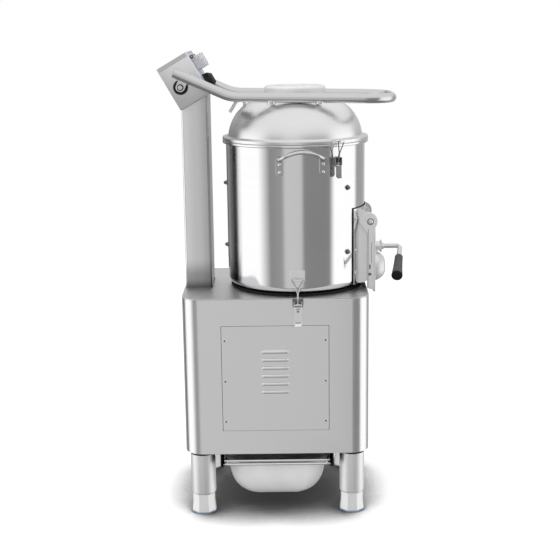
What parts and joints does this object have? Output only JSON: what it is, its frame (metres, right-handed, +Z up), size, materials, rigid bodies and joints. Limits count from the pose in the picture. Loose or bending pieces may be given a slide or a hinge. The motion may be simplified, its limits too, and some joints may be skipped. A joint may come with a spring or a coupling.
{
  "type": "electric potato peeler",
  "caption": "Stand-mounted electric potato peeler: an abrasive drum under a swing-up domed lid, belt drive in a legged cabinet, side chute and slide-in waste tray.",
  "frame": {"origin": "centre of the overall box at floor level", "axes": "+Z up, +X from the control column towards the discharge chute, -Y towards the operator and the access panel"},
  "size_m": [0.6426, 0.44, 1.2194],
  "materials": {
    "brushed_steel": "brushed stainless sheet",
    "polished_steel": "polished stainless",
    "chrome_wire": "chromed wire",
    "cast_aluminium": "matt sand-cast aluminium",
    "blue_grey_film": "satin printed film on steel",
    "black_plastic": "moulded black plastic",
    "black_rubber": "matt rubber",
    "white_plastic": "moulded white plastic",
    "clear_plastic": "clear moulded plastic",
    "green_plastic": "moulded green plastic",
    "red_plastic": "moulded red plastic",
    "abrasive_grit": "coarse bonded grit",
    "painted_motor": "enamelled aluminium"
  },
  "bodies": {
    "root": {"abrasive_liner": "abrasive_grit", "access_panel": "brushed_steel", "back_latch_base": "polished_steel", "bearing_housing": "cast_aluminium", "cabinet_deck": "brushed_steel", "cabinet_wrap": "brushed_steel", "chute_frame": "cast_aluminium", "chute_pin": "polished_steel", "column": "brushed_steel", "control_head": "brushed_steel", "control_panel": "blue_grey_film", "drain_duct": "brushed_steel", "drive_belt": "black_rubber", "drum": "polished_steel", "drum_gasket": "black_rubber", "drum_handle_back": "polished_steel", "drum_handle_front": "polished_steel", "front_latch_base": "polished_steel", "leg_front_left": "brushed_steel", "leg_front_right": "brushed_steel", "leg_rear_left": "brushed_steel", "leg_rear_right": "brushed_steel", "lid_latch_base": "polished_steel", "lid_pivot_back": "polished_steel", "lid_pivot_front": "polished_steel", "lower_bearing": "polished_steel", "motor": "painted_motor", "motor_bracket": "brushed_steel", "tray_runner_left": "black_plastic", "tray_runner_right": "black_plastic", "upper_bearing": "polished_steel"},
    "lid": {"dome_lid": "polished_steel", "lid_seal": "black_rubber", "lid_bar": "polished_steel", "water_inlet_pipe": "polished_steel"},
    "port_cap": {"port_cap": "white_plastic"},
    "timer_knob": {"timer_knob": "black_plastic"},
    "start_button": {"start_button": "green_plastic"},
    "stop_button": {"stop_button": "red_plastic"},
    "splash_cover": {"splash_cover": "clear_plastic"},
    "chute_door": {"chute_door": "cast_aluminium", "door_seal": "black_rubber"},
    "door_handle": {"door_handle_rod": "polished_steel", "door_grip": "black_plastic"},
    "disc": {"peeling_disc": "abrasive_grit", "drive_shaft": "polished_steel", "large_pulley": "cast_aluminium"},
    "motor_pulley": {"motor_pulley": "cast_aluminium"},
    "tray": {"tray_frame": "chrome_wire", "tray_basin": "white_plastic"},
    "front_latch_lever": {"front_latch_lever": "polished_steel"},
    "front_latch_bail": {"front_latch_bail": "polished_steel"},
    "back_latch_lever": {"back_latch_lever": "polished_steel"},
    "back_latch_bail": {"back_latch_bail": "polished_steel"},
    "lid_latch_lever": {"lid_latch_lever": "polished_steel"},
    "lid_latch_bail": {"lid_latch_bail": "polished_steel"},
    "foot_front_left": {"foot_front_left": "brushed_steel"},
    "foot_front_right": {"foot_front_right": "brushed_steel"},
    "foot_rear_left": {"foot_rear_left": "brushed_steel"},
    "foot_rear_right": {"foot_rear_right": "brushed_steel"}
  },
  "joints": [
    {"name": "lid_swing", "type": "hinge", "parent": "root", "child": "lid", "pos_m": [-0.26004, 0, 1.13054], "axis": [0, -1, 0], "range_deg": [0, 105]},
    {"name": "port_cap_lift", "type": "slide", "parent": "lid", "child": "port_cap", "axis": [0, 0, 1], "range_m": [0, 0.12]},
    {"name": "timer_turn", "type": "hinge", "parent": "root", "child": "timer_knob", "pos_m": [-0.19962, 0, 1.13967], "axis": [0.866, 0, 0.5], "range_deg": [0, 270]},
    {"name": "start_push", "type": "slide", "parent": "root", "child": "start_button", "axis": [-0.866, 0, -0.5], "range_m": [0, 0.003], "stiffness_N_per_m": 600},
    {"name": "stop_push", "type": "slide", "parent": "root", "child": "stop_button", "axis": [-0.866, 0, -0.5], "range_m": [0, 0.003], "stiffness_N_per_m": 600},
    {"name": "cover_flip", "type": "hinge", "parent": "root", "child": "splash_cover", "pos_m": [-0.23365, 0, 1.20662], "axis": [0, -1, 0], "range_deg": [0, 95]},
    {"name": "chute_door_swing", "type": "hinge", "parent": "root", "child": "chute_door", "pos_m": [0.22846, 0, 0.776], "axis": [0, -1, 0], "range_deg": [0, 90]},
    {"name": "door_handle_turn", "type": "hinge", "parent": "chute_door", "child": "door_handle", "pos_m": [0.23696, 0, 0.6925], "axis": [1, 0, 0], "range_deg": [0, 72]},
    {"name": "disc_spin", "type": "hinge", "parent": "root", "child": "disc", "pos_m": [0.03396, 0, 0.6018], "axis": [0, 0, 1], "continuous": true},
    {"name": "motor_spin", "type": "hinge", "parent": "root", "child": "motor_pulley", "pos_m": [-0.14184, 0, 0.345], "axis": [0, 0, 1], "continuous": true},
    {"name": "tray_pull", "type": "slide", "parent": "root", "child": "tray", "axis": [0, -1, 0], "range_m": [0, 0.25]},
    {"name": "front_latch_lever_turn", "type": "hinge", "parent": "root", "child": "front_latch_lever", "pos_m": [0.03396, -0.211, 0.585], "axis": [-1, 0, 0], "range_deg": [0, 80]},
    {"name": "front_latch_bail_turn", "type": "hinge", "parent": "front_latch_lever", "child": "front_latch_bail", "pos_m": [0.03396, -0.211, 0.579], "axis": [-1, 0, 0], "range_deg": [-75.2, 0]},
    {"name": "back_latch_lever_turn", "type": "hinge", "parent": "root", "child": "back_latch_lever", "pos_m": [0.03396, 0.211, 0.585], "axis": [1, 0, 0], "range_deg": [0, 80]},
    {"name": "back_latch_bail_turn", "type": "hinge", "parent": "back_latch_lever", "child": "back_latch_bail", "pos_m": [0.03396, 0.211, 0.579], "axis": [1, 0, 0], "range_deg": [-75.2, 0]},
    {"name": "lid_latch_lever_turn", "type": "hinge", "parent": "root", "child": "lid_latch_lever", "pos_m": [0.13927, -0.16531, 0.944], "axis": [-0.8434, -0.5373, 0], "range_deg": [0, 66]},
    {"name": "lid_latch_bail_turn", "type": "hinge", "parent": "lid_latch_lever", "child": "lid_latch_bail", "pos_m": [0.13927, -0.16531, 0.938], "axis": [-0.8434, -0.5373, 0], "range_deg": [-62.04, 0]},
    {"name": "foot_front_left_screw", "type": "slide", "parent": "root", "child": "foot_front_left", "axis": [0, 0, -1], "range_m": [0, 0.025]},
    {"name": "foot_front_right_screw", "type": "slide", "parent": "root", "child": "foot_front_right", "axis": [0, 0, -1], "range_m": [0, 0.025]},
    {"name": "foot_rear_left_screw", "type": "slide", "parent": "root", "child": "foot_rear_left", "axis": [0, 0, -1], "range_m": [0, 0.025]},
    {"name": "foot_rear_right_screw", "type": "slide", "parent": "root", "child": "foot_rear_right", "axis": [0, 0, -1], "range_m": [0, 0.025]}
  ],
  "couplings": [
    {"joint": "motor_spin", "follows": "disc_spin", "ratio": 3.1481},
    {"joint": "front_latch_bail_turn", "follows": "front_latch_lever_turn", "ratio": -0.94},
    {"joint": "back_latch_bail_turn", "follows": "back_latch_lever_turn", "ratio": -0.94},
    {"joint": "lid_latch_bail_turn", "follows": "lid_latch_lever_turn", "ratio": -0.94}
  ]
}
